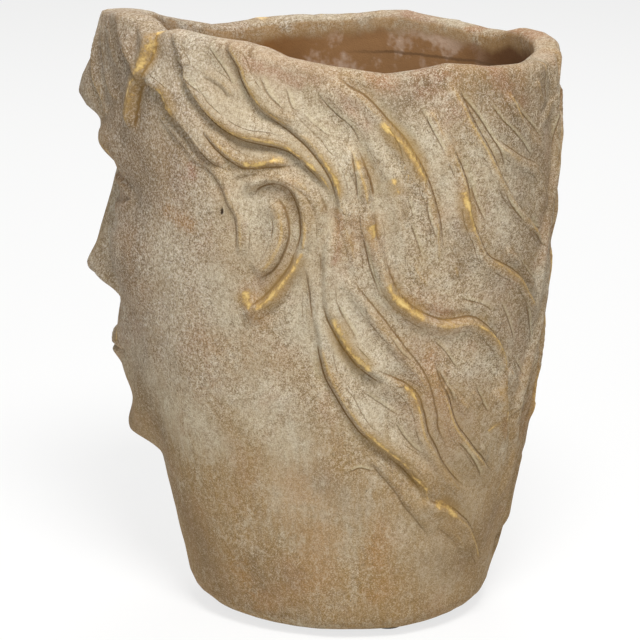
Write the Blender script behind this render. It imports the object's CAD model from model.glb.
import math

import bmesh
import bpy
import numpy as np
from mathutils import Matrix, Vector, noise


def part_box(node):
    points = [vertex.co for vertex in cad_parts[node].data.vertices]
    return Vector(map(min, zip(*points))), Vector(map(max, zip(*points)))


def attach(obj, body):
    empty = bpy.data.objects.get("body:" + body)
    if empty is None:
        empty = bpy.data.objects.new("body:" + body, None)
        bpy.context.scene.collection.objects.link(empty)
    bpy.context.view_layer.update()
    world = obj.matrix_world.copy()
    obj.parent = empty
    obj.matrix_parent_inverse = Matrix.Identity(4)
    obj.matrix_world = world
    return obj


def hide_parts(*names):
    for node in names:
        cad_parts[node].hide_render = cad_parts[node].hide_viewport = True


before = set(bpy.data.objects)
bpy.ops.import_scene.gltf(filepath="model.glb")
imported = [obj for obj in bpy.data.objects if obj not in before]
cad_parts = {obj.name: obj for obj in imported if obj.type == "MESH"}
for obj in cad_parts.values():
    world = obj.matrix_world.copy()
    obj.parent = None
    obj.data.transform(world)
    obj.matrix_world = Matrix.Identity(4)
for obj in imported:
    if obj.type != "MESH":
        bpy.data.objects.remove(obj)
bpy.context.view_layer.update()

# The room: a pale floor, a white surround and soft lamps, and a camera at the head's left side, a
# little behind the ear and above the rim, as the photograph was taken.
VIEW_TURN = 110
VIEW_RISE = 15
VIEW_REACH = 1.6
VIEW_ANGLE = 11.9
VIEW_HEIGHT = 0.148
VIEW_AHEAD = 0.01125
FLOOR_SIZE = 6.0
FLOOR_GLOW = 0.75
# Name, turn round the head, rise over it, reach, size and power of each lamp
LAMPS = [
    ("key", 118, 55, 1.7, 0.6, 31),
    ("fill", 70, 35, 1.9, 1.0, 2),
    ("side", 285, 45, 1.8, 1.0, 11),
]
SURROUND = 0.31

stopper_low, stopper_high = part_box("drain_plug")
head_low, head_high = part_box("pot_body")
scene = bpy.context.scene
scene.view_settings.view_transform = "Standard"


def from_middle(turn, rise, reach):
    """A place round the head, as seen from its middle at the camera's height."""
    across = reach * math.cos(math.radians(rise))
    return Vector((
        across * math.sin(math.radians(turn)),
        -across * math.cos(math.radians(turn)),
        reach * math.sin(math.radians(rise)),
    ))


look_at = Vector((0, (stopper_low.y + stopper_high.y) / 2 - VIEW_AHEAD, VIEW_HEIGHT))
camera = bpy.data.objects.new("camera", bpy.data.cameras.new("camera"))
camera.data.sensor_fit = "HORIZONTAL"
camera.data.angle = math.radians(VIEW_ANGLE)
camera.location = look_at + from_middle(VIEW_TURN, VIEW_RISE, VIEW_REACH)
camera.rotation_euler = (look_at - camera.location).to_track_quat("-Z", "Y").to_euler()
scene.collection.objects.link(camera)
scene.camera = camera

for name, turn, rise, reach, size, power in LAMPS:
    lamp = bpy.data.objects.new(name, bpy.data.lights.new(name, "AREA"))
    lamp.data.shape = "DISK"
    lamp.data.size = size
    lamp.data.energy = power
    lamp.location = look_at + from_middle(turn, rise, reach)
    lamp.rotation_euler = (look_at - lamp.location).to_track_quat("-Z", "Y").to_euler()
    scene.collection.objects.link(lamp)


class Wash:
    """A value or colour on its way through a material, with the sums that it can enter."""

    def __init__(self, tree, socket=None):
        self.tree = tree
        self.socket = socket

    def node(self, kind, settings=None, inputs=None, output=0):
        made = self.tree.nodes.new("ShaderNode" + kind)
        for name, value in (settings or {}).items():
            setattr(made, name, value)
        for name, value in (inputs or {}).items():
            if isinstance(value, Wash):
                self.tree.links.new(value.socket, made.inputs[name])
            else:
                made.inputs[name].default_value = value
        return Wash(self.tree, made.outputs[output])

    def sum(self, operation, first, second):
        return self.node("Math", {"operation": operation}, {0: first, 1: second})

    def __add__(self, other):
        return self.sum("ADD", self, other)

    def __sub__(self, other):
        return self.sum("SUBTRACT", self, other)

    def __mul__(self, other):
        return self.sum("MULTIPLY", self, other)

    def __rsub__(self, other):
        return self.sum("SUBTRACT", other, self)

    __radd__ = __add__
    __rmul__ = __mul__

    def coloured(self, shades):
        self.socket.default_value = shades
        return self

    def size(self):
        return self.node("Math", {"operation": "ABSOLUTE"}, {0: self})

    def between(self, low, high):
        """0 below low, 1 above high and an even slope between, either way round."""
        settings = {"interpolation_type": "SMOOTHSTEP"}
        return self.node("MapRange", settings, {"Value": self, "From Min": low, "From Max": high})

    def over(self, under, share):
        """This colour laid over another one, by a share."""
        settings = {"data_type": "RGBA"}
        return self.node("Mix", settings, {0: share, 6: under, 7: self}, 2)


def paint(red, green, blue):
    """A paint from its shades out of 255."""
    shades = [value / 255 for value in (red, green, blue)]
    return [v / 12.92 if v <= 0.04045 else ((v + 0.055) / 1.055) ** 2.4 for v in shades] + [1]


def finish_named(name):
    """A new material, with its tree and its main shader."""
    material = bpy.data.materials.new(name)
    material.use_nodes = True
    return material, Wash(material.node_tree), material.node_tree.nodes["Principled BSDF"]


def looked_at(wash):
    """1 where the camera looks, straight or by way of metal or glass, and 0 where light falls."""
    seen = wash.node("LightPath", output="Is Camera Ray")
    seen += wash.node("LightPath", output="Is Glossy Ray")
    seen += wash.node("LightPath", output="Is Transmission Ray")
    return seen.between(0, 1)


surround = bpy.data.worlds.new("surround")
surround.use_nodes = True
scene.world = surround
sky = surround.node_tree.nodes["Background"]
sky.inputs["Color"].default_value = (1, 1, 1, 1)
strength = looked_at(Wash(surround.node_tree)) * (1 - SURROUND) + SURROUND
surround.node_tree.links.new(strength.socket, sky.inputs["Strength"])

floor_mesh = bmesh.new()
bmesh.ops.create_grid(floor_mesh, x_segments=1, y_segments=1, size=FLOOR_SIZE)
floor = bpy.data.objects.new("floor", bpy.data.meshes.new("floor"))
floor_mesh.to_mesh(floor.data)
floor_mesh.free()
scene.collection.objects.link(floor)
floor_finish, wash, shader = finish_named("floor_white")
shader.inputs["Base Color"].default_value = paint(235, 235, 233)
shader.inputs["Roughness"].default_value = 0.9
shader.inputs["Specular IOR Level"].default_value = 0
lit = wash.node("Emission", inputs={"Color": (1, 1, 1, 1), "Strength": 1.0})
shaded = Wash(wash.tree, shader.outputs["BSDF"])
both = wash.node("MixShader", inputs={0: looked_at(wash) * FLOOR_GLOW, 1: shaded, 2: lit})
wash.tree.links.new(both.socket, wash.tree.nodes["Material Output"].inputs["Surface"])
floor.data.materials.append(floor_finish)

# The pot: a head with swept-back hair, cast in cement in one piece, hollow and open at the top,
# with a wall 13 mm thick. It is washed with beige and brown, and its raised edges carry worn gold.
# The section of its wall is spun round, and the surface is then modelled in millimetres.
MM = 0.001
POT_H = 300
RIM_W = 190
RIM_L = 226
BASE_W = 146
BASE_L = 152
BASE_BACK = 2
WIDEST = 0.86
FULLNESS = 0.93
WALL = 13
FLOOR_T = 14
PAD_T = 3
LIP_R = 4
# The foot's rounding at angles from the face
FOOT_R = [(0, 20.4), (30, 19.8), (60, 13.5), (90, 9.5), (110, 9.5), (140, 11), (180, 11.5)]
FLOOR_R = 14
DRAIN_R = 8
COLUMNS = 420
OUT_ROWS = 204
# Shares of one side's columns and the angles they reach, closer together at the face and the ear
SPACING = [(0, 0), (0.20, 30), (0.38, 70), (0.68, 118), (1, 180)]

# Height of the rim over its level, in millimetres, at angles from the face towards the left ear
RIM = [
    (0, 3), (18, 7), (30, 10), (42, 10.5), (47, 9), (53, 5.5), (60, 8), (72, 6.5),
    (82, 6), (88, 3.5), (92, -0.5), (98, -3), (111, -6), (118, -7.5), (128, -5.5), (136, -3.6),
    (144, -4.8), (153, -7), (168, -9), (190, -8), (202, -6), (215, -5.4), (224, -6), (232, -9.8),
    (242, -10), (254, -7.8), (267, -4.8), (280, -8), (296, -9.5), (312, -12), (324, -13), (338, -7),
    (349, -2), (360, 3),
]

# Locks of hair from the temple to the nape: height, width of the lower flank, width of the upper
# flank, then the crest's way over one side of the head as angles and shares of the height. A flank
# of up to 4 mm is steep and ends in a hollow.
HAIR = [
    (5.0, 15, 3.5, [(55, 1.04), (54, 0.998), (51.5, 0.954), (48, 0.924), (45, 0.88), (43, 0.84)]),
    (4.2, 3.2, 16, [(30, 1.04), (44, 0.972), (53, 0.938), (60, 0.922), (62, 0.898), (67, 0.876),
        (72, 0.844), (76, 0.826), (81, 0.815)]),
    (1.8, 2.6, 10, [(66, 0.83), (74, 0.812), (78, 0.786), (80, 0.756), (82, 0.734), (82.5, 0.70),
        (82, 0.665)]),
    (4.0, 3.2, 15, [(60, 1.04), (67, 0.982), (68, 0.955), (70, 0.935), (76, 0.896), (84, 0.868),
        (92, 0.860), (96, 0.848), (102, 0.810), (106, 0.768)]),
    (3.0, 3, 9, [(73, 0.88), (80, 0.836), (84, 0.824), (88, 0.826), (95, 0.834)]),
    (1.6, 2.6, 8, [(80, 0.80), (86, 0.812), (91, 0.812), (96, 0.797), (99, 0.778), (101, 0.75)]),
    (3.6, 3.2, 15, [(78, 1.03), (83, 0.988), (85, 0.958), (89, 0.918), (95, 0.890), (100, 0.860),
        (105, 0.812), (106.5, 0.768), (106, 0.730), (104, 0.690)]),
    (4.6, 3.2, 12, [(105, 0.74), (103, 0.69), (103, 0.62), (104, 0.586), (106, 0.554), (110, 0.510),
        (115, 0.482), (121, 0.462)]),
    (3.4, 12, 3, [(114, 0.485), (122, 0.462), (125, 0.452), (128, 0.434), (130, 0.408),
        (132, 0.374), (134, 0.354), (140, 0.306), (147, 0.268), (156, 0.235)]),
    (3.8, 3.2, 12, [(98, 0.68), (100, 0.62), (101, 0.564), (103, 0.486), (107, 0.436), (112, 0.388),
        (117, 0.362), (123, 0.334), (128, 0.308), (134, 0.270), (139, 0.228)]),
    (3.2, 12, 3, [(132, 0.25), (138, 0.232), (146, 0.218), (151, 0.20), (157, 0.174), (162, 0.142),
        (166, 0.115), (174, 0.09)]),
    (1.8, 3, 10, [(116, 0.33), (124, 0.28), (129, 0.244), (133, 0.22), (142, 0.17)]),
    (2.6, 7, 3.5, [(105, 0.67), (110, 0.622), (117, 0.568), (124, 0.514), (130, 0.464),
        (134, 0.404), (136, 0.368), (141, 0.32)]),
    (4.4, 8, 3.2, [(107, 0.875), (110, 0.842), (113, 0.788), (114, 0.72), (116, 0.688),
        (120, 0.624), (126, 0.584), (135, 0.559), (145, 0.558), (153, 0.528), (160, 0.48),
        (164, 0.412), (166, 0.376), (170, 0.346), (173, 0.29)]),
    (3.6, 12, 3, [(133, 0.91), (136, 0.85), (140, 0.794), (142, 0.736), (146, 0.684), (149, 0.660),
        (154, 0.644), (160, 0.626), (165, 0.608), (170, 0.578), (179, 0.534), (188, 0.49)]),
    (3.6, 12, 3, [(103, 0.98), (108, 0.95), (112, 0.936), (117, 0.902), (122, 0.866), (127, 0.816),
        (130, 0.770), (132, 0.726), (134, 0.66)]),
    (2.2, 7, 5, [(101, 0.97), (107, 0.924), (113, 0.886), (116, 0.850), (120, 0.802), (122, 0.742),
        (124, 0.69)]),
    (3.0, 12, 2.8, [(135, 0.97), (140, 0.914), (144, 0.876), (151, 0.810), (155, 0.776),
        (160, 0.744), (166, 0.714), (172, 0.684), (182, 0.636)]),
    (2.6, 9, 2.8, [(149, 0.86), (158, 0.828), (164, 0.810), (171, 0.790), (176, 0.754),
        (184, 0.70)]),
    (2.6, 9, 2.8, [(155, 0.94), (161, 0.888), (167, 0.852), (175, 0.818), (183, 0.76)]),
    (2.4, 8, 2.8, [(166, 1.02), (175, 0.946), (181, 0.922), (188, 0.895)]),
    (3.2, 12, 3, [(132, 0.50), (135, 0.458), (138, 0.430), (141, 0.396), (144, 0.368), (148, 0.344),
        (153, 0.318), (160, 0.285), (168, 0.25)]),
    (2.6, 9, 3.5, [(160, 0.43), (168, 0.36), (176, 0.29), (184, 0.23)]),
    (1.4, 2.4, 6, [(57, 0.882), (65, 0.848), (70, 0.82)]),
    (1.2, 2.4, 6, [(73, 0.966), (78, 0.95), (81, 0.932)]),
    (1.2, 2.4, 6, [(88, 0.93), (92, 0.912), (96, 0.902)]),
    (1.8, 6, 2.6, [(114, 0.766), (116, 0.728), (117, 0.694), (120, 0.656), (122, 0.626)]),
    (1.3, 6, 2.4, [(121, 0.774), (122, 0.736), (124, 0.706), (126, 0.676), (128, 0.65),
        (132, 0.618)]),
    (1.2, 6, 2.4, [(136, 0.702), (138, 0.664), (140, 0.636)]),
    (1.6, 8, 2.6, [(130, 0.92), (134, 0.874), (137, 0.848)]),
    (1.6, 7, 2.4, [(157, 0.675), (164, 0.642), (173, 0.598), (178, 0.57)]),
    (1.5, 3, 6, [(118, 0.36), (122, 0.348), (127, 0.33), (132, 0.306), (138, 0.266)]),
    (1.3, 6, 2.4, [(138, 0.452), (144, 0.424), (149, 0.40)]),
    (1.3, 6, 2.4, [(149, 0.43), (154, 0.406)]),
    (1.3, 6, 2.4, [(157, 0.325), (162, 0.298)]),
    (1.8, 7, 2.4, [(166, 0.452), (175, 0.412), (184, 0.38)]),
    (1.4, 6, 2.4, [(168, 0.395), (179, 0.362), (188, 0.34)]),
    (1.4, 6, 2.4, [(169, 0.944), (172, 0.92), (175, 0.896)]),
    (1.4, 2.4, 6, [(107, 0.732), (109, 0.686), (110, 0.64), (112, 0.606)]),
    (1.4, 3, 7, [(142, 0.198), (151, 0.164), (156, 0.136)]),
    (2.0, 2.8, 8, [(1, 1.04), (5, 0.96), (11, 0.90), (19, 0.862), (26, 0.85)]),
    (1.8, 2.8, 8, [(9, 1.04), (14, 0.97), (20, 0.925), (28, 0.895), (35, 0.885)]),
    (1.4, 2.6, 7, [(18, 1.04), (24, 0.99), (31, 0.955), (39, 0.94)]),
]

# The ear, in the same way: the inner plate, the outer roll down to the lobe and the ridge behind it
EAR = [
    (2.6, 10, 2.6, [(90, 0.768), (92, 0.752), (92.8, 0.72), (92, 0.69), (90.4, 0.664),
        (88.4, 0.645), (86, 0.634)]),
    (3.8, 3.4, 6, [(84, 0.766), (86, 0.788), (89, 0.80), (92.5, 0.80), (95.5, 0.784), (97.4, 0.752),
        (97.8, 0.716), (97, 0.69), (95, 0.655), (92, 0.622), (89, 0.596), (86, 0.578), (84, 0.57)]),
    (2.4, 5, 3.8, [(99, 0.79), (101.5, 0.75), (101.6, 0.714), (100.8, 0.672), (99.8, 0.634),
        (99.2, 0.594), (99, 0.54)]),
]
# Locks that fall down the middle of the back, over the ends of the others
BACK = [
    (3.2, 6, 10, [(176, 1.02), (181, 0.92), (185, 0.82), (182, 0.72), (178, 0.62), (181, 0.50)]),
    (3.2, 7, 9, [(180, 0.66), (185, 0.56), (181, 0.46), (176, 0.37), (180, 0.27), (178, 0.18)]),
    (2.6, 6, 8, [(186, 0.48), (190, 0.40), (186, 0.31), (183, 0.22), (186, 0.13)]),
    (4.4, 11, 6, [(190, 0.38), (195, 0.30), (198, 0.24), (198, 0.17), (195, 0.10)]),
]

# The ear's lobe: its angle, share of the height, half width, half height and how far it stands out
LOBE = (85.5, 0.578, 4.2, 0.03)
LOBE_OUT = 4
# The forelock: how far it stands out at shares of the height, then its angle and half width
FORELOCK = [
    (0.815, 0), (0.828, 7), (0.842, 19), (0.86, 24), (0.89, 22), (0.92, 17.5), (0.97, 11.5),
    (1.0, 8), (1.03, 4),
]
FORELOCK_AT = -6
FORELOCK_HALF = 26

# The face, in millimetres over the pads: its depth before the plain ring, its jaw, then its rounded
# forms as places, half sizes and heights
DEPTH = [
    (50, 16), (70, 17), (82, 19), (100, 15), (112, 14.5), (126, 14), (140, 13), (156, 11), (180, 8),
    (205, 6), (222, 5.5), (238, 9), (252, 10), (275, 8), (300, 7), (320, 7),
]
JAW = [(0, 66), (14, 67.5), (28, 72), (42, 82), (56, 99), (68, 120), (80, 150), (95, 185)]
FORMS = [
    # muzzle, chin, fold over the chin, cheekbone, cheek, temple, socket, inner corner, nose tip,
    # wing, nostril, corner of the mouth
    (0, 126, 44, 38, 5),
    (0, 82, 27, 18, 4.5),
    (0, 103, 30, 9, -2.2),
    (50, 184, 36, 30, 6.5),
    (54, 136, 30, 34, -3),
    (66, 226, 26, 34, -4),
    (36, 214, 33, 24, -12),
    (17, 219, 13, 17, -5.5),
    (0, 166, 13, 12, 2.5),
    (13.5, 161, 9, 11, 8),
    (7.2, 153.5, 5, 4, -4.5),
    (28.5, 126, 7, 6, -1.8),
]
EYE_AT = 36
EYE_Z = 213
EYE_HALF = 17
NOSE_Z = 166
MOUTH_Z = 126


def ease(share):
    held = np.clip(share, 0, 1)
    return held * held * (3 - 2 * held)


def tapered(way, start, end):
    """Strength along the way of a stroke, which fades over a share of it at both ends."""
    return ease(way / start) * ease((1 - way) / end)


def mound(reach):
    return np.where(reach < 1, (1 - np.minimum(reach, 1)) ** 2, 0)


def steps(table, at):
    return np.interp(at, [row[0] for row in table], [row[1] for row in table])


def swell(share):
    return np.sin(np.radians(90 * np.clip(share / WIDEST, 0, 1)))


def half_width(share):
    return BASE_W / 2 + (RIM_W - BASE_W) / 2 * swell(share)


def half_length(share):
    return BASE_L / 2 + (RIM_L - BASE_L) / 2 * swell(share)


def ring(angle, share, inset):
    """The plain wall at angles and shares of the height, inset by a thickness."""
    turn = np.radians(angle)
    x = np.sign(np.sin(turn)) * np.abs(np.sin(turn)) ** FULLNESS
    y = np.sign(np.cos(turn)) * np.abs(np.cos(turn)) ** FULLNESS
    middle = BASE_BACK * (1 - swell(share))
    return (half_width(share) - inset) * x, middle - (half_length(share) - inset) * y


def drawn(points, fine=6):
    """A smooth curve through a few points."""
    p = np.array([points[0], *points, points[-1]], float)
    t = (np.arange(fine) / fine)[:, None]
    parts = []
    for before, start, end, after in zip(p, p[1:], p[2:], p[3:]):
        bend = t * t * (before - 2.5 * start + 2 * end - after / 2)
        parts.append(start + t * (end - before) / 2 + bend
                     + t ** 3 * ((after - before) / 2 + 1.5 * (start - end)))
    return np.concatenate(parts + [p[-1:]])


def beside(angle, share, points, reach):
    """The places near a curve, with their distance from it in millimetres, positive above it, and
    the share of its way."""
    curve = drawn(points)
    scale = np.radians((half_width(share) + half_length(share)) / 2)
    low, high = curve.min(0), curve.max(0)
    near = (angle > low[0] - reach / 1.4) & (angle < high[0] + reach / 1.4)
    near &= (share > low[1] - reach / POT_H) & (share < high[1] + reach / POT_H)
    x, y, k = angle[near][:, None], share[near][:, None], scale[near][:, None]
    ax, ay, bx, by = curve[:-1, 0], curve[:-1, 1], curve[1:, 0], curve[1:, 1]
    dx, dy = (bx - ax) * k, (by - ay) * POT_H
    ex, ey = (x - ax) * k, (y - ay) * POT_H
    t = np.clip((dx * ex + dy * ey) / (dx * dx + dy * dy), 0, 1)
    away = np.hypot(ex - t * dx, ey - t * dy)
    best = away.argmin(1)
    pick = np.arange(len(best)), best
    side = np.where((dx * ey - dy * ex)[pick] < 0, -1, 1)
    return near, away[pick] * side, (best + t[pick]) / (len(curve) - 1)


# A flank up to CRISP millimetres wide is steep. It is drawn in, by STEEP to CRISP, and ends in a
# hollow, whose depth is a share of the lock's height.
CRISP = 4
HOLLOW = 0.22
STEEP = 3.2
HOLLOW_WIDTH = 6


def flank(away, rise, width):
    """Height of a lock at a distance from its crest, over one flank."""
    if width > CRISP:
        return rise * (1 - ease(away / width))
    width = width * STEEP / CRISP
    fall = rise - rise * (1 + HOLLOW) * ease(away / width)
    foot = -rise * HOLLOW * (1 - ease((away - width) / HOLLOW_WIDTH))
    return np.where(away < width, fall, foot)


# The line down the back where the sides meet: its angle, and how far it swings to each side
PARTING_AT = 182
PARTING_SWING = 9


def both_sides(angle, share):
    """A place as the left side counts it, and as the right side does, where the locks lie lower,
    each with how far the place is from the wavy line down the back where the two sides meet."""
    other = 360 - angle
    parting = PARTING_AT + PARTING_SWING * np.sin(13 * share)
    lower = share + 0.03 * ease((other - 90) / 60)
    return (angle, share, parting - angle), (other + 2 * np.sin(11 * share), lower, angle - parting)


FAR = 9.0


class Strokes:
    """Signed distance to the nearest of many strokes, up to FAR millimetres, with its strength,
    faded where two are as near."""

    def __init__(self, shape):
        self.first, self.second = np.full(shape, FAR), np.full(shape, FAR)
        self.away, self.share = np.full(shape, FAR), np.zeros(shape)

    def lay(self, near, away, share, scale=1):
        gap = np.minimum(np.abs(away), FAR)
        closer = gap < self.first[near]
        self.second[near] = np.where(closer, self.first[near], np.minimum(self.second[near], gap))
        self.away[near] = np.where(closer, away / scale, self.away[near])
        self.share[near] = np.where(closer, share, self.share[near])
        self.first[near] = np.minimum(self.first[near], gap)

    def strength(self):
        return self.share * ease((self.second - self.first) / 4) * ease((FAR - 1 - self.first) / 2)


LOCK_REACH = 20
# The power by which overlapping locks run together, so that the higher one leads
BLEND = 2.5


def relief(angle, share, edges=None, strands=None):
    """How far the hair and the ear stand over the plain wall. The feet of the steep flanks are
    noted in edges, and the distance from the crests on their gentle side in strands."""
    high, low = np.zeros_like(angle), np.zeros_like(angle)
    left, right = both_sides(angle, share)
    middle = angle, share, 0 * angle + 90
    for (side, level, clear), locks in ((left, HAIR + EAR), (right, HAIR + EAR), (middle, BACK)):
        for height, lower, upper, points in locks:
            near, away, way = beside(side, level, points, LOCK_REACH)
            ends = tapered(way, 0.12, 0.16) * ease((clear[near] + 8) / 22)
            above, below = flank(away, height, upper), flank(-away, height, lower)
            lock = ends * np.where(away > 0, above, below)
            high[near] += np.maximum(lock, 0) ** BLEND
            low[near] += np.minimum(lock, 0)
            if edges:
                crisp = min(lower, upper) <= CRISP
                foot = min(lower, upper) * STEEP / CRISP
                beyond = (away if upper <= lower else -away) - foot
                edges.lay(near, beyond, ends * crisp * min(1, height / 3))
                strands.lay(near, away if upper > lower else -away, ends)
    for side, level, _ in (left, right):
        at, up, half, tall = LOBE
        high += (LOBE_OUT * mound(((side - at) / half) ** 2 + ((level - up) / tall) ** 2)) ** BLEND
    turned = np.where(angle > 180, angle - 360, angle)
    roll = mound(((turned - FORELOCK_AT) / FORELOCK_HALF) ** 2)
    return high ** (1 / BLEND) + low + roll * steps(FORELOCK, share)


def arc(table, at):
    smooth = drawn(table)
    return np.interp(at, smooth[:, 0], smooth[:, 1])


def ridge(away, half):
    return np.exp(-(away / half) ** 2)


def eye(x, z):
    """A ball in its socket, between an upper and a lower lid."""
    span = (x - EYE_AT) / EYE_HALF
    inner = np.clip(1 - span ** 2, 0, 1)
    level = EYE_Z + 1.2 * span
    upper, lower = level + 6.2 * inner ** 0.8, level - 4.6 * inner ** 0.9
    ball = 9 * np.clip(1 - (span / 1.4) ** 2 - ((z - EYE_Z) / 19) ** 2, 0, 1) ** 1.3
    ends = ease((1.2 - np.abs(span)) / 0.3)
    over = ease((z - upper + 0.6) / 1.5) * ease((upper + 9 - z) / 7)
    under = ease((lower - z + 0.6) / 1.5) * ease((z - lower + 8) / 6)
    crease = ridge(z - upper - 5.4, 1.6) * ease((1.15 - np.abs(span)) / 0.3)
    return ball + (2.6 * over + 2 * under - 2.4 * crease) * ends


def nose(x, z):
    down = np.clip((NOSE_Z + 62 - z) / 62, 0, 1)
    tall = np.where(z < NOSE_Z, 22 * ease((z - NOSE_Z + 15) / 12), 2 + 20 * down ** 0.95)
    width = 7.2 + 4.4 * down ** 2
    return tall * np.exp(-(x / width) ** 2.3) * ease((NOSE_Z + 72 - z) / 16)


def mouth(x, z):
    line = MOUTH_Z + 0.9 * ridge(x, 4) - 1.1 * ridge(x - 14, 7)
    top = MOUTH_Z + 9.5 - 1.4 * ridge(x, 3.2) - 8.5 * (x / 27) ** 1.6
    low = MOUTH_Z - 10 + 9 * (x / 25) ** 2.2
    upper = 3.8 * ease((top - z + 1) / 5) * ease((z - line + 1.5) / 3) * ease((28 - x) / 8)
    lower = 4.6 * ease((line - z + 1) / 3.4) * ease((z - low + 4) / 9) * ease((26 - x) / 12)
    return upper + lower - 3.4 * ridge(z - line, 1.5) * ease((29 - x) / 6)


def face(x, z):
    """How far the face stands before the plain ring, across by x and up by z."""
    x, z = np.abs(x), z - PAD_T
    lift = ease((z - arc(JAW, x) + 3) / (13 + 26 * ease(x / 70)))
    out = arc(DEPTH, z) * lift * (1 - ease((x - 4) / 80))
    for at, up, half, tall, height in FORMS:
        out += height * mound(((x - at) / half) ** 2 + ((z - up) / tall) ** 2)
    brow = 237 + 3.5 * np.sin(np.clip((x - 6) / 50, 0, 1.3) * np.pi * 0.8)
    out += 5 * ridge(z - brow, 7.5) * ease((x + 2) / 14) * ease((68 - x) / 24)
    out -= 1.2 * ridge(x, 3.4) * ease((z - MOUTH_Z - 8) / 4) * ease((MOUTH_Z + 28 - z) / 6)
    fold = ridge(x - 84.2 + 0.42 * z, 5) * ease((NOSE_Z - 2 - z) / 10)
    out -= 1.3 * fold * ease((z - MOUTH_Z - 4) / 14)
    return out + eye(x, z) + nose(x, z) + mouth(x, z)


# Size and height of the lumps of the casting, and the seed that keeps them the same in each run
LUMPS = [(26, 0.7), (9, 0.3)]
LUMP_SEED = 7


def cast(places):
    """The same places, uneven as a casting is."""
    noise.seed_set(LUMP_SEED)
    rough = places.reshape(-1, 3).copy()
    for size, height in LUMPS:
        shift = np.array([noise.noise_vector(Vector(p / size)) for p in places.reshape(-1, 3)])
        rough += height * shift
    return rough.reshape(places.shape)


def skin(angle, z, inset, *strokes):
    """The outside: the hair stands out from the wall, and the face straight ahead."""
    share = (z - PAD_T) / POT_H
    x, y = ring(angle, share, inset)
    plain_x, _ = ring(angle, share, 0)
    out_x = half_length(share) * np.sin(np.radians(angle))
    out_y = -half_width(share) * np.cos(np.radians(angle))
    rise = relief(angle, share, *strokes) / np.hypot(out_x, out_y)
    ahead = np.where(np.cos(np.radians(angle)) > 0, face(plain_x, z), 0)
    return np.stack((x + rise * out_x, y + rise * out_y - ahead, z), -1)


def hollow(angle, z, inset):
    x, y = ring(angle, (z - PAD_T) / POT_H, inset)
    return np.stack((x, y, z + 0 * x), -1)


side_angles = np.interp(np.arange(COLUMNS // 2 + 1) * 2 / COLUMNS, *zip(*SPACING))
angles = np.concatenate((side_angles, 360 - side_angles[-2:0:-1]))
rim_z = PAD_T + POT_H + steps(RIM, angles)

# Rows of the section, from the drain hole under the floor, out and up, over the rim and down inside
rise = np.interp(np.linspace(0, 1, OUT_ROWS), (0, 0.12, 1), (0, 0.19, 1))[:, None]
foot_r = steps(FOOT_R, np.minimum(angles, 360 - angles))
foot_h = 2.4 + 0.6 * foot_r
plain_z = PAD_T + foot_h + rise * (POT_H - LIP_R - foot_h)
out_z = plain_z + (rim_z - PAD_T - POT_H) * ease((rise - 0.6) / 0.4)
turns = np.tile(angles, (OUT_ROWS, 1))
edges, strands = Strokes(turns.shape), Strokes(turns.shape)
outside = skin(turns, out_z, 0, edges, strands)

foot = []
for bend in (0, 0.25, 0.5, 0.75):
    foot.append(skin(angles, PAD_T + foot_h - foot_h * math.sin(math.pi / 2 * (1 - bend)),
                     foot_r * (1 - math.cos(math.pi / 2 * (1 - bend)))))
drain_y = BASE_BACK
drain_x, drain_out = DRAIN_R * np.sin(np.radians(angles)), DRAIN_R * np.cos(np.radians(angles))
drain_low = np.stack((drain_x, drain_y - drain_out, PAD_T + 0 * angles), -1)
drain_high = np.stack((drain_x, drain_y - drain_out, PAD_T + FLOOR_T + 0 * angles), -1)
under = [drain_low + (foot[0] - drain_low) * share for share in (0, 0.35, 0.7)]

lip = []
inner = hollow(angles, rim_z - LIP_R, WALL)
for bend in np.linspace(0, 1, 9)[1:-1]:
    across = 0.5 - 0.5 * np.cos(np.pi * bend)
    lift = LIP_R * np.sin(np.pi * bend) ** 0.6
    lip.append(outside[-1] + (inner - outside[-1]) * across + np.array((0, 0, 1)) * lift)
inside = []
low_z = PAD_T + FLOOR_T + FLOOR_R
for drop in np.linspace(0, 1, 12):
    inside.append(hollow(angles, (rim_z - LIP_R) + (low_z - rim_z + LIP_R) * drop, WALL))
bed = []
for bend in (0.35, 0.7, 1):
    drop = FLOOR_R * math.sin(math.pi / 2 * bend)
    inset = WALL + FLOOR_R * (1 - math.cos(math.pi / 2 * bend))
    bed.append(hollow(angles, low_z - drop + 0 * angles, inset))
bed += [bed[-1] + (drain_high - bed[-1]) * share for share in (0.33, 0.67, 1)]

form = np.stack((*under, *cast(np.array((*foot, *outside, *lip, *inside))), *bed))
form_rows = len(form)
form[..., 1] += (stopper_low.y + stopper_high.y) / 2 / MM - drain_y

head_mesh = bmesh.new()
line = [head_mesh.verts.new((1, 0, row)) for row in range(form_rows)]
line += [head_mesh.edges.new(pair) for pair in zip(line, line[1:])]
bmesh.ops.spin(
    head_mesh, geom=line, cent=(0, 0, 0), axis=(0, 0, 1), angle=math.tau, steps=COLUMNS,
    use_merge=True)
rims = [edge for edge in head_mesh.edges if edge.is_boundary]
bmesh.ops.bridge_loops(head_mesh, edges=rims)
head = bpy.data.objects.new("head", bpy.data.meshes.new("head"))
head_mesh.to_mesh(head.data)
places = np.empty(len(head.data.vertices) * 3)
head.data.vertices.foreach_get("co", places)
places = places.reshape(-1, 3)
row = np.rint(places[:, 2]).astype(int)
column = np.rint(np.arctan2(places[:, 1], places[:, 0]) / math.tau * COLUMNS).astype(int) % COLUMNS
head.data.vertices.foreach_set("co", (form[row, column] * MM).ravel())
head_mesh.free()
head_mesh = bmesh.new()
head_mesh.from_mesh(head.data)
bmesh.ops.recalc_face_normals(head_mesh, faces=head_mesh.faces)
head_mesh.to_mesh(head.data)
head_mesh.free()
head.data.polygons.foreach_set("use_smooth", [True] * len(head.data.polygons))
scene.collection.objects.link(head)

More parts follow.
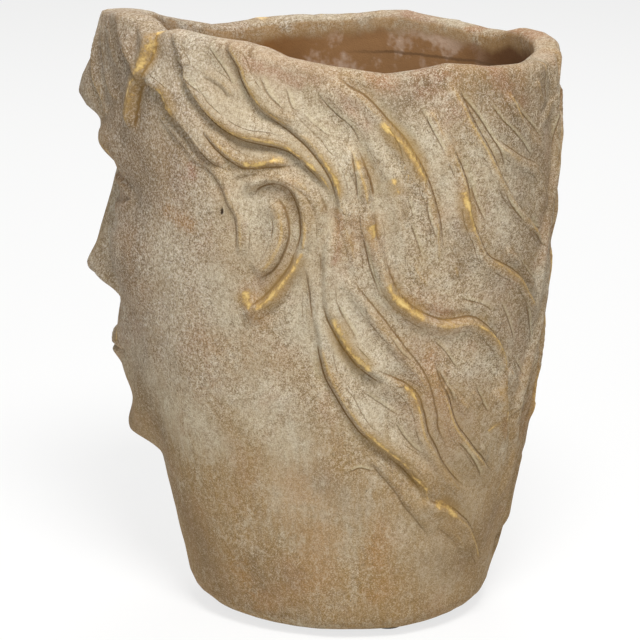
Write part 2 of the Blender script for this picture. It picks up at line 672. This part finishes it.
# Worn gold on the raised edges: half width in millimetres, strength and the way of each stroke
GILDING = [
    (2.2, 0.9, [(58, 0.93), (60, 0.92), (62, 0.898), (65, 0.882)]),
    (1.0, 0.8, [(73, 0.918), (76, 0.896), (80, 0.878), (84, 0.868), (88, 0.866), (92, 0.860),
        (96, 0.848), (99, 0.832), (102, 0.810), (104, 0.788), (106, 0.768)]),
    (0.8, 0.7, [(85, 0.955), (87, 0.936), (89, 0.918), (92, 0.902), (95, 0.890)]),
    (1.2, 0.7, [(100, 0.86), (103, 0.834), (105, 0.812), (106, 0.790), (106, 0.768), (106, 0.745)]),
    (1.6, 0.7, [(83, 0.826), (86, 0.822), (88, 0.825), (91, 0.834), (95, 0.833)]),
    (2.0, 1.0, [(116, 0.91), (118, 0.89), (122, 0.866), (125, 0.844), (127, 0.816), (129, 0.80)]),
    (1.5, 0.7, [(119, 0.812), (120, 0.795), (121.5, 0.78)]),
    (2.2, 1.0, [(139.5, 0.79), (140, 0.764), (142, 0.736), (143, 0.715)]),
    (1.2, 0.6, [(110, 0.842), (111.5, 0.825)]),
    (1.5, 0.7, [(114, 0.735), (115, 0.71)]),
    (2.0, 0.9, [(118.5, 0.64), (120, 0.62), (123, 0.60), (127, 0.584), (131, 0.57)]),
    (2.2, 0.5, [(133, 0.562), (139, 0.56)]),
    (1.4, 0.6, [(162, 0.448), (164, 0.412), (166, 0.376), (169, 0.35)]),
    (2.2, 1.0, [(104, 0.59), (106, 0.556), (108, 0.53), (110, 0.51), (113, 0.494), (115, 0.482)]),
    (1.1, 0.8, [(124, 0.458), (127, 0.445), (129, 0.42), (130, 0.405)]),
    (1.2, 0.9, [(111, 0.392), (114, 0.376), (117, 0.362), (120, 0.348), (123, 0.334), (126, 0.32),
        (128, 0.308), (130, 0.29), (134, 0.27), (136, 0.248), (138, 0.232)]),
    (2.5, 0.8, [(138, 0.234), (142, 0.23), (146, 0.22), (150, 0.204)]),
    (0.9, 0.9, [(159, 0.348), (165, 0.358)]),
    (1.5, 1.0, [(98, 0.765), (98.6, 0.73), (98, 0.70), (96, 0.668), (94, 0.644), (91, 0.616),
        (89, 0.598), (86, 0.576), (85, 0.565)]),
    (3.4, 0.9, [(82.5, 0.61), (84, 0.592), (85.5, 0.575), (87, 0.56)]),
    (0.9, 0.6, [(97.3, 0.752), (97.8, 0.716), (97, 0.69)]),
    (1.0, 0.6, [(145, 0.558), (153, 0.528), (160, 0.48)]),
    (1.0, 0.6, [(150, 0.66), (158, 0.632), (165, 0.608), (170, 0.578)]),
    (2.2, 1.0, [(57, 1.04), (55, 0.998), (52, 0.96), (48.5, 0.938), (46, 0.914), (43.5, 0.88),
        (43, 0.86)]),
    (1.8, 0.7, [(0, 0.73), (0, 0.64), (0, 0.56)]),
    (1.3, 0.5, [(9, 0.795), (16, 0.803), (24, 0.80), (31, 0.785)]),
    (0.8, 0.5, [(0, 0.448), (4, 0.452), (9, 0.44), (14, 0.428)]),
]

# Brown and ochre stains, soft at their edges, in the same way
STAINS = [
    (7, 0.7, [(132, 0.50), (136, 0.44), (140, 0.39), (145, 0.35)]),
    (15, 0.6, [(95, 0.27), (99, 0.18), (97, 0.10)]),
    (7, 0.6, [(123, 0.60), (131, 0.572), (140, 0.562)]),
    (5, 0.7, [(136, 0.85), (139, 0.80), (142, 0.736)]),
    (5, 0.6, [(114, 0.74), (116, 0.69), (119, 0.64)]),
    (2.4, 0.7, [(106, 0.75), (106, 0.72), (105, 0.70)]),
    (4, 0.7, [(162, 0.45), (166, 0.38), (170, 0.33)]),
    (14, 0.5, [(140, 0.98), (150, 0.97), (158, 0.95)]),
    (4, 0.6, [(114, 0.965), (120, 0.955)]),
    (10, 0.7, [(72, 0.10), (78, 0.05)]),
    (9, 0.6, [(120, 0.2), (121, 0.08)]),
    (9, 0.5, [(96, 0.22), (98, 0.16)]),
    (14, 0.4, [(75, 0.50), (88, 0.50)]),
    (5, 0.9, [(58, 0.72), (68, 0.708)]),
    (6, 0.8, [(84, 0.595), (86, 0.565)]),
    (10, 0.7, [(24, 0.80), (24, 0.70)]),
    (14, 0.4, [(42, 0.64), (46, 0.52)]),
]

# Brick-red spots in the wash, in the same way, and small open pits with their half sizes
BRICK = [
    (2.6, 0.9, [(68.5, 0.808), (69, 0.79)]),
    (2.6, 0.7, [(85, 0.994), (88, 0.986)]),
    (3.0, 0.7, [(92, 0.970), (96, 0.958)]),
    (3.4, 0.6, [(114, 0.972), (121, 0.95)]),
    (6, 0.6, [(150, 0.97), (160, 0.91)]),
    (1.4, 0.7, [(106.5, 0.75), (106.5, 0.71), (105, 0.67)]),
    (4, 0.6, [(131, 0.585), (137, 0.575)]),
    (5, 0.5, [(108, 0.93), (112, 0.90)]),
    (3, 0.6, [(84, 0.985), (92, 0.975), (100, 0.965)]),
    (6, 0.6, [(126, 0.95), (140, 1.0), (152, 0.985)]),
]
PITS = [
    (77.75, 0.738, 1.4), (115, 0.27, 0.6), (108, 0.09, 0.7), (111.3, 0.066, 0.6), (126, 0.353, 0.6),
]

# Fine strands scratched into the hair, with the strength of each
STRANDS = [
    (1.0, [(153, 0.776), (157, 0.746), (163, 0.714), (172, 0.674), (184, 0.63)]),
    (0.9, [(162, 0.656), (168, 0.626), (176, 0.594)]),
    (0.7, [(163, 0.71), (176, 0.684), (180, 0.652)]),
    (0.8, [(121.5, 0.76), (123.5, 0.74), (125, 0.722), (129, 0.662)]),
    (0.6, [(123, 0.78), (124, 0.76), (125, 0.738)]),
    (1.0, [(112, 0.72), (113, 0.682), (114, 0.658), (117, 0.61)]),
    (0.8, [(150, 0.44), (154, 0.408), (158, 0.384)]),
    (0.8, [(135, 0.48), (139, 0.446), (142, 0.415)]),
    (0.9, [(168, 0.47), (179, 0.416), (190, 0.37)]),
    (0.8, [(173, 0.78), (179, 0.744), (185, 0.71)]),
    (0.7, [(73.5, 1.016), (77, 0.988), (80, 0.964), (81, 0.948)]),
    (0.7, [(80.5, 1.022), (84, 1.01), (87, 0.995)]),
    (0.9, [(93, 0.954), (95, 0.92), (99, 0.89), (103, 0.866)]),
    (1.0, [(136, 0.954), (141.5, 0.922), (147, 0.882), (151.5, 0.842), (155.5, 0.80)]),
    (0.9, [(147, 0.928), (153, 0.89), (161, 0.852), (168, 0.81)]),
    (0.9, [(156, 0.928), (162, 0.896), (170, 0.856), (177, 0.81)]),
    (0.8, [(142, 0.798), (144, 0.764), (148, 0.724)]),
    (0.7, [(117, 0.904), (120, 0.872), (122, 0.838)]),
    (0.8, [(108.5, 0.856), (110, 0.814), (110.5, 0.774)]),
    (0.8, [(96.5, 0.918), (100, 0.896), (104, 0.874)]),
    (0.7, [(119, 0.554), (123, 0.518), (127, 0.496)]),
    (0.8, [(132, 0.534), (137, 0.51), (142, 0.474)]),
    (0.9, [(144, 0.348), (151, 0.312), (159, 0.264)]),
    (0.8, [(122, 0.396), (127, 0.358), (132, 0.334)]),
    (0.9, [(156, 0.584), (161.5, 0.54), (166.5, 0.494)]),
    (0.9, [(167, 0.572), (174, 0.524), (180, 0.484)]),
    (0.9, [(172, 0.96), (176, 0.90), (179, 0.85), (182, 0.794)]),
    (0.7, [(62, 0.99), (66, 0.965), (70, 0.945), (74, 0.93)]),
    (0.8, [(88, 0.975), (90, 0.94), (94, 0.912)]),
    (0.7, [(100, 0.95), (104, 0.92), (109, 0.89), (111, 0.86)]),
    (0.7, [(126, 0.93), (130, 0.885), (134, 0.84)]),
    (0.7, [(128, 0.78), (129, 0.74), (132, 0.70)]),
    (0.7, [(106, 0.60), (108, 0.57), (111, 0.535)]),
    (0.7, [(112, 0.45), (118, 0.425), (124, 0.40)]),
    (0.7, [(140, 0.60), (148, 0.585), (154, 0.565)]),
    (1.0, [(110, 0.303), (113, 0.31), (117, 0.304)]),
]

# Pale grey bloom and dusky brown wash, larger and softer still
PALE = [
    (13, 0.9, [(76, 0.93), (86, 0.89), (98, 0.86), (106, 0.80)]),
    (9, 0.7, [(117, 0.80), (118, 0.70), (117, 0.60)]),
    (11, 0.7, [(126, 0.88), (136, 0.80), (138, 0.72)]),
    (12, 0.7, [(75, 0.62), (77, 0.56)]),
    (12, 0.5, [(86, 0.50), (85, 0.38)]),
    (9, 0.5, [(132, 0.40), (146, 0.37)]),
    (17, 0.8, [(60, 0.97), (74, 0.95), (90, 0.94)]),
    (14, 0.7, [(84, 0.76), (86, 0.68)]),
    (7, 0.9, [(98.5, 0.71), (97.5, 0.62), (96, 0.54)]),
    (4, 1.0, [(103, 0.74), (102.5, 0.66), (101, 0.58), (100, 0.52)]),
    (11, 0.7, [(103, 0.64), (106, 0.55), (118, 0.49)]),
    (14, 0.5, [(58, 0.66), (54, 0.54)]),
    (13, 0.8, [(46, 0.37), (58, 0.33)]),
    (9, 0.8, [(34, 0.44), (38, 0.40)]),
    (7, 0.8, [(60, 0.875), (72, 0.862)]),
    (7, 0.9, [(84, 0.86), (96, 0.84)]),
    (9, 0.8, [(88, 0.95), (100, 0.92)]),
    (12, 0.5, [(150, 0.84), (156, 0.72)]),
    (11, 0.7, [(60, 0.36), (70, 0.33)]),
    (11, 0.7, [(92, 0.35), (94, 0.26)]),
    (10, 0.5, [(142, 0.11), (152, 0.08)]),
    (7, 0.5, [(113, 0.43), (120, 0.40)]),
    (14, 0.45, [(130, 0.20), (146, 0.12)]),
    (14, 0.5, [(132, 0.35), (158, 0.30)]),
    (10, 0.6, [(112, 0.42), (124, 0.36)]),
    (10, 0.5, [(118, 0.93), (113, 0.86)]),
    (9, 0.5, [(128, 0.56), (140, 0.545)]),
    (12, 0.4, [(150, 0.30), (157, 0.21)]),
    (16, 0.6, [(200, 0.80), (215, 0.62), (205, 0.45)]),
    (15, 0.6, [(262, 0.70), (270, 0.62)]),
    (18, 0.6, [(290, 0.95), (300, 0.90)]),
]
DUSK = [
    (3, 0.9, [(153, 0.776), (157, 0.746), (163, 0.714), (172, 0.674), (184, 0.63)]),
    (12, 0.8, [(40, 0.20), (52, 0.12), (60, 0.05)]),
    (14, 0.4, [(156, 0.68), (160, 0.55)]),
    (8, 0.7, [(46, 1.0), (56, 0.99), (64, 0.965)]),
    (8, 0.3, [(104, 0.67), (102, 0.60)]),
    (10, 0.5, [(100, 0.29), (109, 0.25)]),
    (10, 0.5, [(81, 0.13), (91, 0.10)]),
    (10, 0.8, [(122, 0.93), (131, 0.985), (152, 1.0)]),
    (8, 0.7, [(139, 0.72), (140, 0.66)]),
    (14, 0.9, [(42, 0.80), (40, 0.58)]),
    (12, 0.5, [(322, 0.80), (322, 0.60)]),
    (15, 0.8, [(36, 0.93), (31, 0.80), (30, 0.62), (31, 0.45), (34, 0.30)]),
    (15, 0.7, [(324, 0.93), (329, 0.80), (330, 0.62), (329, 0.45), (326, 0.30)]),
    (11, 0.6, [(60, 0.92), (66, 0.905)]),
    (14, 0.8, [(24, 0.98), (46, 0.96), (44, 0.87)]),
    (14, 0.8, [(46, 0.78), (43, 0.67), (38, 0.56)]),
    (9, 0.8, [(173, 0.95), (176, 0.80), (182, 0.66), (188, 0.52)]),
    (9, 0.7, [(78, 0.12), (82, 0.07)]),
    (17, 0.8, [(146, 0.98), (156, 0.93), (166, 0.84)]),
    (13, 0.6, [(165, 0.75), (166, 0.62), (172, 0.50)]),
    (16, 0.8, [(30, 0.24), (46, 0.17), (54, 0.10)]),
    (11, 0.7, [(142, 0.13), (160, 0.12), (176, 0.17)]),
    (7, 0.6, [(64, 0.84), (62, 0.78)]),
    (14, 0.8, [(-14, 0.95), (0, 0.88), (14, 0.95)]),
    (12, 0.5, [(0, 0.30), (14, 0.28)]),
    (15, 0.5, [(68, 0.02), (92, 0.02)]),
    (14, 0.6, [(184, 0.35), (196, 0.22)]),
    (14, 0.5, [(236, 0.90), (226, 0.80)]),
    (16, 0.6, [(300, 0.10), (318, 0.14)]),
]


def softened(field, width):
    """The field with its detail smoothed over a few cells."""
    weights = np.exp(-0.5 * (np.arange(-2 * width, 2 * width + 1) / width) ** 2)
    weights /= weights.sum()
    rows = np.pad(field, ((2 * width, 2 * width), (0, 0)), "edge")
    field = sum(w * rows[k:k + len(field)] for k, w in enumerate(weights))
    around = np.pad(field, ((0, 0), (2 * width, 2 * width)), "wrap")
    return sum(w * around[:, k:k + field.shape[1]] for k, w in enumerate(weights))


STAIN_REACH = 30
WASH_REACH = 50

shares = (out_z - PAD_T) / POT_H
gilt, scratches = Strokes(turns.shape), Strokes(turns.shape)
pit = np.full(shares.shape, FAR)
soft = {name: np.zeros_like(shares) for name in ("stain", "brick", "pale", "dusk")}
for side, level, clear in both_sides(turns, shares):
    for half, strength, points in GILDING:
        near, away, way = beside(side, level, points, FAR)
        gilt.lay(near, away, strength * tapered(way, 0.22, 0.22), half)
    for strength, points in STRANDS:
        near, away, way = beside(side, level, points, FAR)
        ends = tapered(way, 0.25, 0.25) * ease((clear[near] + 5) / 12)
        scratches.lay(near, away, strength * ends)
    for name, washes in (("stain", STAINS), ("brick", BRICK)):
        for half, strength, points in washes:
            near, away, way = beside(side, level, points, STAIN_REACH)
            soft[name][near] = np.maximum(soft[name][near], strength * np.exp(-(away / half) ** 2))
for turn, level, half in PITS:
    across = np.radians(turns - turn) * (half_width(shares) + half_length(shares)) / 2
    pit = np.minimum(pit, np.hypot(across * 1.5, (shares - level) * POT_H * 0.7) / half)
for name, washes in (("pale", PALE), ("dusk", DUSK)):
    for half, strength, points in washes:
        for turn in (-360, 0):
            near, away, way = beside(turns + turn, shares, points, WASH_REACH)
            soft[name][near] = np.maximum(soft[name][near], strength * np.exp(-(away / half) ** 2))
plain = np.stack((*ring(turns, shares, 0), out_z), -1)
stand = np.linalg.norm(outside - plain, axis=-1)
dip = softened(stand, 3) - stand
deep = softened(stand, 9) - stand

first_out = len(under) + len(foot)
first_in = first_out + OUT_ROWS + len(lip)
for name, values, elsewhere in (
    ("gilt", gilt.away, FAR), ("gilt_share", gilt.strength(), 0),
    ("dip", dip, 0), ("deep", deep, 0),
    ("edge", edges.away, FAR), ("edge_share", edges.strength(), 0),
    ("strand", strands.away, 0), ("strand_share", strands.strength(), 0), ("pit", pit, FAR),
    ("scratch", scratches.away, FAR), ("scratch_share", scratches.strength(), 0),
    *((name, values, 0) for name, values in soft.items()),
):
    whole = np.full((form_rows, COLUMNS), float(elsewhere))
    whole[first_out:first_out + OUT_ROWS] = values
    fading = np.linspace(1, 0, len(lip))[:, None] if name.endswith("_share") else 1
    whole[first_out + OUT_ROWS:first_in] = values[-1] * fading
    layer = head.data.attributes.new(name, "FLOAT", "POINT")
    layer.data.foreach_set("value", whole[row, column])

# Depth under the rim inside, in millimetres
whole = np.zeros((form_rows, COLUMNS))
whole[first_in:] = POT_H
whole[first_in:first_in + len(inside)] = rim_z - np.array(inside)[..., 2]
head.data.attributes.new("depth", "FLOAT", "POINT").data.foreach_set("value", whole[row, column])

cement, wash, shader = finish_named("cement")
place = wash.node("TexCoord", output="Object")


def cloud(scale, detail=2, roughness=0.5, where=None):
    """A soft random field on the surface."""
    inputs = {"Vector": where or place, "Scale": scale, "Detail": detail, "Roughness": roughness}
    return wash.node("TexNoise", {}, inputs, "Fac")


def painted(name):
    return wash.node("Attribute", {"attribute_name": name}, {}, "Fac")


def shade(red, green, blue):
    return wash.node("RGB").coloured(paint(red, green, blue))


def washed(body, washes):
    """The body colour under washes laid on in turn, each with its shades and its share."""
    for shades, share in washes:
        body = shade(*shades).over(body, share)
    return body


# Heights over the floor, in metres
NECK_TOP, NECK_LOW = 0.145, 0.085
SCALING_LOW, SCALING_HIGH = 0.20, 0.26
SEAM_UP = 0.276

height = wash.node("SeparateXYZ", {}, {0: place}, "Z")
along = wash.node("SeparateXYZ", {}, {0: place}, "Y")
brushed = wash.node("Mapping", {"vector_type": "POINT"}, {"Vector": place, "Scale": (1, 1, 0.16)})
gilt_away = painted("gilt")
gilt_share = painted("gilt_share")
stain = painted("stain")
pale = painted("pale")
dusk = painted("dusk")
dip = painted("dip")
deep = painted("deep")
edge = painted("edge")
edge_share = painted("edge_share")
strand = painted("strand")
scratch = painted("scratch")
scratch_share = painted("scratch_share")
brick = painted("brick")
pitted = painted("pit").between(1.1, 0.6)
depth = painted("depth")

grain = cloud(1150, 4, 0.7)
grit = cloud(2100, 2, 0.6)
mottle = cloud(430, 3, 0.6)
blotch = cloud(150, 3, 0.6)
patches = cloud(24, 5, 0.62)
drifts = cloud(70, 4, 0.62)
broad = cloud(9, 3, 0.55)
warm = cloud(13, 4, 0.6) * 0.6 + broad * 0.4
streaks = cloud(260, 3, 0.6, brushed)
inside = (depth + (cloud(45, 4, 0.65) - 0.5) * 16).between(7, 13)
neck = height.between(NECK_TOP, NECK_LOW) * depth.between(5, 1)

# The cheeks and the brow are frosted with coarser grains
frosted = along.between(-0.005, -0.035) * height.between(0.11, 0.15)
frost = cloud(820, 3, 0.7)

# Beside a steep flank: a thin dark line at its foot, a pale smooth wash beyond it in places, and an
# ochre crest. Finer lines run along the locks on their gentle side.
line = (edge + (drifts - 0.5) * 0.8 + 0.2).size().between(0.75, 0.15) * edge_share
smooth = edge.between(-1.5, 0.5) * edge.between(6.5, 1.5) * edge_share * patches.between(0.44, 0.6)
crest = (edge + 3 + (drifts - 0.5) * 2).size()
flanked = (edge + 1).size().between(6, 1) * edge_share
valley = (dip + (patches - 0.5) * 0.3).between(0.3, 1.3)
calm = (smooth + valley * 0.3 + pale * (drifts - 0.35)).between(0, 1.1)
combed = wash.sum("PINGPONG", strand + (drifts - 0.5) * 3, 1.5).between(1.15, 1.46)
combed *= strand.between(1.2, 2.4) * painted("strand_share") * cloud(75, 2, 0.5).between(0.43, 0.53)
scratched = (scratch + (drifts - 0.5) * 1.2).size().between(0.62, 0.1) * scratch_share
beside_scratch = (scratch - 1.3).size().between(1.1, 0.2) * scratch_share

speckled = 1 - calm * 0.45
flecked = speckled * (1 - neck * 0.45)
light = grain.between(0.51, 0.62) * speckled
dark = grain.between(0.49, 0.38) * speckled

# Coats of beige, brown, cream, rose and grey, then the stains, hollows, crests and grain
body = washed(shade(162, 143, 112), [
    ((132, 108, 76), (patches + broad * 0.6).between(0.78, 0.6) * 0.6),
    ((184, 170, 140), (patches + broad * 0.5).between(0.76, 0.98) * 0.7),
    ((158, 126, 104), cloud(33, 4, 0.6).between(0.52, 0.66) * 0.55),
    ((176, 170, 154), cloud(19, 4, 0.6).between(0.5, 0.64) * 0.6),
    ((166, 138, 90), cloud(27, 4, 0.6).between(0.53, 0.68) * 0.55),
    ((146, 120, 78), neck * (0.35 + streaks.between(0.42, 0.62) * 0.5)),
    ((184, 176, 154), pale * (0.45 + drifts * 0.7)),
    ((112, 88, 60), dusk * (0.3 + patches * 0.9)),
    ((156, 114, 62), (stain * (0.6 + drifts)).between(0.15, 0.9) * 0.75),
    ((138, 90, 64), (brick * (0.5 + drifts)).between(0.2, 0.8) * 0.7),
    ((176, 168, 136), calm * 0.55),
    ((108, 88, 58), deep.between(0.4, 4.5) * 0.3),
    ((190, 178, 150), deep.between(-0.6, -4) * 0.4),
    ((162, 126, 74), crest.between(4, 0.6) * edge_share * (0.25 + patches * 0.7)),
    ((188, 178, 158), blotch.between(0.52, 0.64) * 0.45),
    ((128, 104, 74), blotch.between(0.48, 0.36) * 0.45),
    ((192, 178, 154), mottle.between(0.52, 0.64) * (0.55 - neck * 0.2) * speckled),
    ((116, 94, 62), mottle.between(0.48, 0.36) * 0.55 * speckled),
    ((206, 192, 170), light * (0.6 - neck * 0.3)),
    ((98, 78, 48), dark * (0.6 - neck * 0.25)),
    ((216, 205, 190), grit.between(0.57, 0.67) * (0.45 - neck * 0.2) * speckled),
    ((84, 68, 44), grit.between(0.43, 0.33) * (0.4 - neck * 0.15) * speckled),
])

# Thin washes over the grain: warm and cool drifts, ochre down the neck, brown where the dirt stays
body = washed(body, [
    ((146, 116, 74), warm.between(0.49, 0.6) * 0.5),
    ((184, 176, 156), warm.between(0.48, 0.38) * 0.45),
    ((160, 128, 102), cloud(28, 4, 0.62).between(0.52, 0.66) * 0.4),
    ((136, 114, 78), cloud(44, 4, 0.6).between(0.5, 0.36) * 0.45),
    ((142, 112, 64), neck * (0.2 + streaks.between(0.42, 0.62) * 0.3)),
    ((192, 182, 158), pale * drifts.between(0.3, 0.55) * 0.55),
    ((106, 86, 58), dusk * patches.between(0.3, 0.6) * 0.65),
    ((152, 110, 58), stain * drifts.between(0.35, 0.6) * 0.55),
    ((136, 86, 62), brick * drifts.between(0.35, 0.6) * 0.6),
    ((146, 116, 68), flanked * drifts.between(0.38, 0.62) * 0.5),
    ((190, 158, 96), crest.between(0.9, 0.2) * edge_share * patches.between(0.42, 0.6) * 0.7),
])

# The grain comes through the washes again, lines and pits stay dark, and brown runs over the rim
body = washed(body, [
    ((208, 196, 178), light * (0.3 - neck * 0.1)),
    ((92, 74, 48), dark * (0.3 - neck * 0.1)),
    ((196, 184, 160), mottle.between(0.54, 0.64) * 0.28 * flecked),
    ((110, 90, 60), mottle.between(0.46, 0.36) * 0.24 * flecked),
    ((220, 210, 198), grit.between(0.57, 0.67) * (0.4 - neck * 0.15)),
    ((80, 64, 42), grit.between(0.43, 0.33) * 0.3),
    ((216, 206, 196), frost.between(0.51, 0.62) * frosted * 0.45),
    ((108, 88, 74), frost.between(0.49, 0.38) * frosted * 0.45),
    ((196, 184, 150), beside_scratch * 0.35),
    ((120, 92, 54), combed * 0.6),
    ((104, 78, 44), scratched * 0.75),
    ((106, 78, 42), (line * 0.9 + dip.between(1.2, 2.4) * 0.6).between(0, 1.1) * 0.95),
    ((22, 17, 12), pitted),
    ((150, 116, 72), depth.between(-1, 3) * drifts.between(0.3, 0.6) * 0.7),
    ((128, 98, 62), depth.between(4, 11) * 0.7),
])

# Inside: orange-brown towards the face and darker behind, with pale scaling and a seam
scaling = cloud(40, 4, 0.65).between(0.49, 0.62) * (along - 0.01).size().between(0.07, 0.03)
seam = (height + (drifts - 0.5) * 0.004 - SEAM_UP).size().between(0.0012, 0.0003)
within = washed(shade(138, 102, 66), [
    ((122, 80, 34), along.between(-0.01, -0.06) * 0.9),
    ((88, 56, 28), along.between(0.045, 0.085) * 0.9),
    ((98, 68, 42), cloud(14, 3, 0.5).between(0.5, 0.62) * 0.5),
    ((184, 160, 140), scaling * height.between(SCALING_LOW, SCALING_HIGH) * 0.75),
    ((96, 70, 46), seam * along.between(-0.02, 0.02) * 0.7),
])
body = within.over(body, inside)

# Worn gold in flakes over a brown rub, and a brighter core
worn = gilt_away.size() + (cloud(160, 4, 0.75) - 0.5) * 5
strong = (gilt_share + (drifts - 0.5) * 1.6).between(0.2, 0.75)
gold = worn.between(0.9, 0.1) * strong * (drifts.between(0.3, 0.55) * 0.6 + 0.4)
rub = (gilt_away.size() + (drifts - 0.5) * 3).between(4.2, 0.6) * gilt_share
colour = washed(body, [
    ((146, 116, 66), rub * (0.2 + patches * 0.8)),
    ((188, 152, 88), gold * 0.8),
    ((232, 204, 134), worn.between(0.5, -0.4) * gold * 0.7),
])
roughness = 0.92 - gold * 0.5
step = edge.between(0.2, -2.2) * edge_share * 1.2
relief_height = (grain * 0.4 + grit * 0.15 + streaks * neck * 0.5 + blotch * 0.9) * speckled
relief_height += step - line * 0.5 - combed * 0.7 - scratched * 0.8 - pitted * 1.5
bump = wash.node(
    "Bump", {}, {"Strength": 0.8, "Distance": 0.0006, "Height": relief_height}, "Normal")
for name, value in (
    ("Base Color", colour), ("Roughness", roughness), ("Metallic", gold * 0.5), ("Normal", bump),
):
    wash.tree.links.new(value.socket, shader.inputs[name])
shader.inputs["Specular IOR Level"].default_value = 0.25
head.data.materials.append(cement)
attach(head, "pot")
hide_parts("pot_body")

# The stopper closes the drain hole from inside, and three stick-on pads carry the pot. All are
# black rubber, moulded, and their CAD forms stay and take the finish.
rubber, wash, shader = finish_named("rubber")
place = wash.node("TexCoord", output="Object")
dust = cloud(90, 3, 0.6)
sheen = cloud(900, 2, 0.5)
colour = shade(62, 58, 52).over(shade(26, 25, 25), dust.between(0.45, 0.7) * 0.5)
bump = wash.node("Bump", {}, {"Strength": 0.4, "Distance": 0.0002, "Height": sheen}, "Normal")
roughness = 0.62 + dust * 0.25
for name, value in (("Base Color", colour), ("Roughness", roughness), ("Normal", bump)):
    wash.tree.links.new(value.socket, shader.inputs[name])
for name in ("drain_plug", "foot_pad_front", "foot_pad_back_left", "foot_pad_back_right"):
    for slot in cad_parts[name].material_slots:
        slot.material = rubber
